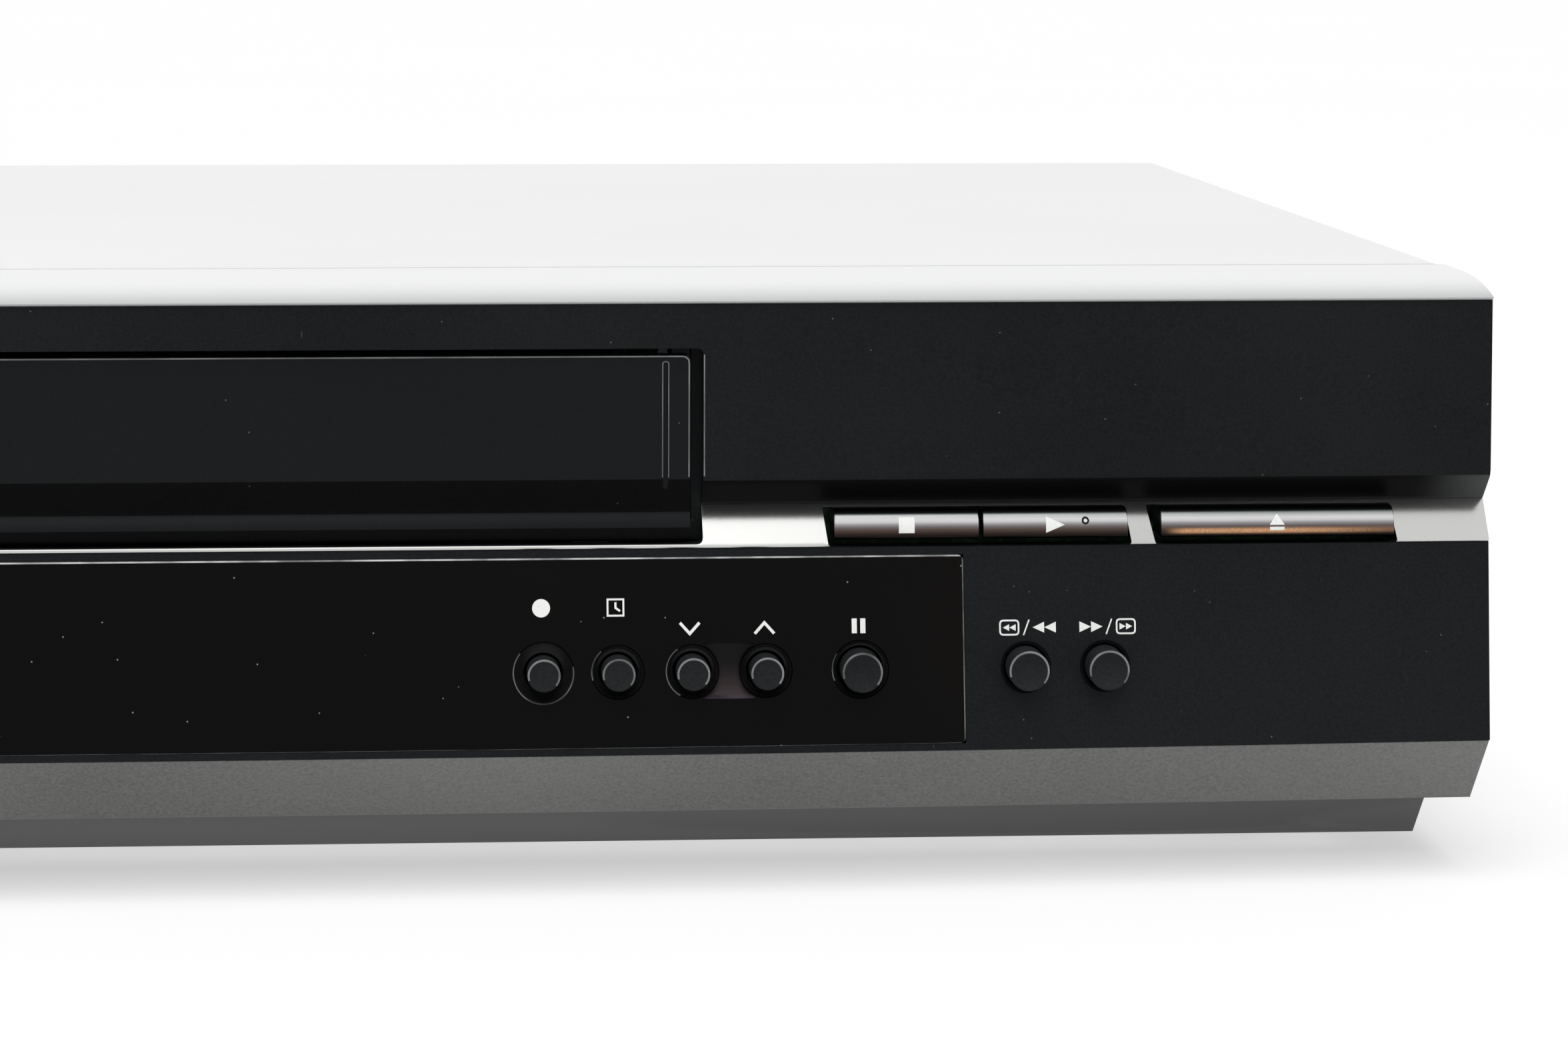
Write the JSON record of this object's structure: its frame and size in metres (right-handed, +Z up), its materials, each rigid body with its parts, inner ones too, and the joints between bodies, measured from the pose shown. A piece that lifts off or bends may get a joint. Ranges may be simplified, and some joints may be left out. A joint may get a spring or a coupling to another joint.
{
  "type": "video cassette recorder",
  "caption": "Full-width video cassette recorder with a sprung cassette door, front press buttons and a working tape deck inside a flat metal case.",
  "frame": {"origin": "under the middle of the whole object, on the plane that its feet stand on", "axes": "+X to the viewer's right, -Y out of the front, +Z up"},
  "size_m": [0.43, 0.286, 0.089],
  "materials": {
    "cover_paint": "silver grey satin paint on sheet steel",
    "trim_paint": "silver lacquer on plastic",
    "strip_paint": "bright silver lacquer",
    "black_case": "fine satin black moulding",
    "door_black": "smooth black moulding",
    "smoked_window": "smoked acrylic",
    "button_metallic": "dark metallic lacquer",
    "button_black": "glossy black moulding",
    "grey_lacquer": "dark grey metallic lacquer",
    "frame_plastic": "dark grey moulding",
    "zinc_sheet": "zinc-plated sheet steel",
    "rear_sheet": "black painted sheet steel",
    "screw_steel": "dark plated steel",
    "spring_steel": "bright spring steel",
    "drum_metal": "polished aluminium",
    "board_laminate": "brown paper laminate",
    "tube_glass": "dark vacuum tube glass",
    "lens_dark": "dark infrared-clear resin",
    "nylon_white": "natural nylon",
    "nylon_black": "black nylon",
    "rubber_black": "black rubber",
    "foot_plastic": "black foot moulding",
    "nickel": "nickel plate",
    "socket_black": "black socket moulding"
  },
  "bodies": {
    "case": {"top_cover": "cover_paint", "top_trim": "trim_paint", "strip_trim": "strip_paint", "front_panel": "black_case", "display_window": "smoked_window", "lower_trim": "grey_lacquer", "main_frame": "frame_plastic", "bottom_plate": "zinc_sheet", "rear_panel": "rear_sheet", "feet": "foot_plastic", "case_screws": "screw_steel", "door_spring": "spring_steel", "front_board": "board_laminate", "display_tube": "tube_glass", "infrared_receiver": "lens_dark", "front_jacks": "nickel", "scart_sockets": "socket_black", "rear_jacks": "nickel", "aerial_sockets": "nickel", "mains_inlet": "socket_black", "tuner_can": "zinc_sheet", "main_board": "board_laminate", "power_board": "board_laminate", "deck_plate": "zinc_sheet", "drive_belt": "rubber_black", "erase_head": "screw_steel", "sound_head": "drum_metal", "loading_motor": "zinc_sheet", "lower_drum": "drum_metal", "left_bracket": "zinc_sheet", "right_bracket": "zinc_sheet"},
    "cassette_door": {"cassette_door": "door_black"},
    "stop_button": {"stop_button": "button_metallic"},
    "play_button": {"play_button": "button_metallic"},
    "eject_button": {"eject_button": "button_metallic"},
    "power_button": {"power_button": "button_metallic"},
    "record_button": {"record_button": "button_black"},
    "timer_button": {"timer_button": "button_black"},
    "channel_down_button": {"channel_down_button": "button_black"},
    "channel_up_button": {"channel_up_button": "button_black"},
    "pause_button": {"pause_button": "button_black"},
    "rewind_button": {"rewind_button": "button_black"},
    "forward_button": {"forward_button": "button_black"},
    "carriage": {"holder_sliders": "zinc_sheet"},
    "cassette_holder": {"cassette_holder": "zinc_sheet"},
    "sync_shaft": {"sync_shaft": "nylon_white"},
    "head_drum": {"upper_drum": "drum_metal", "drum_rotor": "drum_metal"},
    "capstan": {"capstan": "screw_steel"},
    "clutch_pulley": {"clutch_pulley": "nylon_white"},
    "pinch_arm": {"pinch_arm": "zinc_sheet"},
    "pinch_roller": {"pinch_roller": "rubber_black"},
    "supply_reel": {"supply_reel": "nylon_black"},
    "takeup_reel": {"takeup_reel": "nylon_black"},
    "idler_arm": {"idler_arm": "zinc_sheet"},
    "idler_wheel": {"idler_wheel": "rubber_black"},
    "supply_post": {"supply_post": "zinc_sheet"},
    "takeup_post": {"takeup_post": "zinc_sheet"},
    "tension_arm": {"tension_arm": "zinc_sheet"},
    "cam_gear": {"cam_gear": "nylon_white"}
  },
  "joints": [
    {"name": "cassette_door_swing", "type": "hinge", "parent": "case", "child": "cassette_door", "pos_m": [0, -0.1296, 0.0818], "axis": [1, 0, 0], "range_deg": [0, 98], "stiffness_Nm_per_rad": 0.004, "springref_deg": -34.38},
    {"name": "cassette_carriage_slide", "type": "slide", "parent": "case", "child": "carriage", "axis": [0, 1, 0], "range_m": [0, 0.072]},
    {"name": "cassette_holder_drop", "type": "slide", "parent": "carriage", "child": "cassette_holder", "axis": [0, 0, -1], "range_m": [0, 0.0258]},
    {"name": "channel_down_press", "type": "slide", "parent": "case", "child": "channel_down_button", "axis": [0, 1, 0], "range_m": [0, 0.0008], "stiffness_N_per_m": 400},
    {"name": "channel_up_press", "type": "slide", "parent": "case", "child": "channel_up_button", "axis": [0, 1, 0], "range_m": [0, 0.0008], "stiffness_N_per_m": 400},
    {"name": "eject_press", "type": "slide", "parent": "case", "child": "eject_button", "axis": [0, 1, 0], "range_m": [0, 0.0008], "stiffness_N_per_m": 400},
    {"name": "forward_press", "type": "slide", "parent": "case", "child": "forward_button", "axis": [0, 1, 0], "range_m": [0, 0.0008], "stiffness_N_per_m": 400},
    {"name": "pause_press", "type": "slide", "parent": "case", "child": "pause_button", "axis": [0, 1, 0], "range_m": [0, 0.0008], "stiffness_N_per_m": 400},
    {"name": "play_press", "type": "slide", "parent": "case", "child": "play_button", "axis": [0, 1, 0], "range_m": [0, 0.0008], "stiffness_N_per_m": 400},
    {"name": "power_press", "type": "slide", "parent": "case", "child": "power_button", "axis": [0, 1, 0], "range_m": [0, 0.0008], "stiffness_N_per_m": 400},
    {"name": "record_press", "type": "slide", "parent": "case", "child": "record_button", "axis": [0, 1, 0], "range_m": [0, 0.0008], "stiffness_N_per_m": 400},
    {"name": "rewind_press", "type": "slide", "parent": "case", "child": "rewind_button", "axis": [0, 1, 0], "range_m": [0, 0.0008], "stiffness_N_per_m": 400},
    {"name": "stop_press", "type": "slide", "parent": "case", "child": "stop_button", "axis": [0, 1, 0], "range_m": [0, 0.0008], "stiffness_N_per_m": 400},
    {"name": "timer_press", "type": "slide", "parent": "case", "child": "timer_button", "axis": [0, 1, 0], "range_m": [0, 0.0008], "stiffness_N_per_m": 400},
    {"name": "sync_shaft_turn", "type": "hinge", "parent": "case", "child": "sync_shaft", "pos_m": [0, 0.0408, 0.07], "axis": [1, 0, 0], "range_deg": [0, 344]},
    {"name": "tape_drum_spin", "type": "hinge", "parent": "case", "child": "head_drum", "pos_m": [0, 0.0608, 0.019], "axis": [-0.1045, 0, 0.9945], "continuous": true},
    {"name": "tape_capstan_spin", "type": "hinge", "parent": "case", "child": "capstan", "pos_m": [0.06, 0.0308, 0.019], "axis": [0, 0, 1], "continuous": true},
    {"name": "tape_clutch_spin", "type": "hinge", "parent": "case", "child": "clutch_pulley", "pos_m": [0, -0.0252, 0.014], "axis": [0, 0, 1], "continuous": true},
    {"name": "tape_pinch_swing", "type": "hinge", "parent": "case", "child": "pinch_arm", "pos_m": [0.084, 0.0488, 0.029], "axis": [0, 0, -1], "range_deg": [0, 40]},
    {"name": "tape_pinch_roller_spin", "type": "hinge", "parent": "pinch_arm", "child": "pinch_roller", "pos_m": [0.08466, 0.02181, 0.034], "axis": [0, 0, 1], "continuous": true},
    {"name": "tape_supply_reel_spin", "type": "hinge", "parent": "case", "child": "supply_reel", "pos_m": [-0.0465, -0.0332, 0.022], "axis": [0, 0, 1], "continuous": true},
    {"name": "tape_takeup_reel_spin", "type": "hinge", "parent": "case", "child": "takeup_reel", "pos_m": [0.0465, -0.0332, 0.022], "axis": [0, 0, 1], "continuous": true},
    {"name": "tape_idler_swing", "type": "hinge", "parent": "case", "child": "idler_arm", "pos_m": [0, -0.0252, 0.02], "axis": [0, 0, 1], "range_deg": [-62, 62]},
    {"name": "tape_idler_wheel_spin", "type": "hinge", "parent": "idler_arm", "child": "idler_wheel", "pos_m": [0, -0.0412, 0.022], "axis": [0, 0, 1], "continuous": true},
    {"name": "tape_cam_turn", "type": "hinge", "parent": "case", "child": "cam_gear", "pos_m": [-0.07, 0.0768, 0.021], "axis": [0, 0, 1], "range_deg": [0, 170]},
    {"name": "tape_supply_post_slide", "type": "slide", "parent": "case", "child": "supply_post", "axis": [-0.2747, 0.9615, 0], "range_m": [0, 0.0583]},
    {"name": "tape_takeup_post_slide", "type": "slide", "parent": "case", "child": "takeup_post", "axis": [0.2747, 0.9615, 0], "range_m": [0, 0.0583]},
    {"name": "tape_tension_swing", "type": "hinge", "parent": "case", "child": "tension_arm", "pos_m": [-0.084, 0.0348, 0.024], "axis": [0, 0, 1], "range_deg": [-15, 15], "stiffness_Nm_per_rad": 0.01}
  ],
  "couplings": [
    {"joint": "sync_shaft_turn", "follows": "cassette_carriage_slide", "rad_per_m": 83.333},
    {"joint": "tape_clutch_spin", "follows": "tape_capstan_spin", "ratio": 0.64286},
    {"joint": "tape_supply_post_slide", "follows": "tape_cam_turn", "m_per_rad": 0.019629},
    {"joint": "tape_takeup_post_slide", "follows": "tape_cam_turn", "m_per_rad": 0.019629}
  ]
}
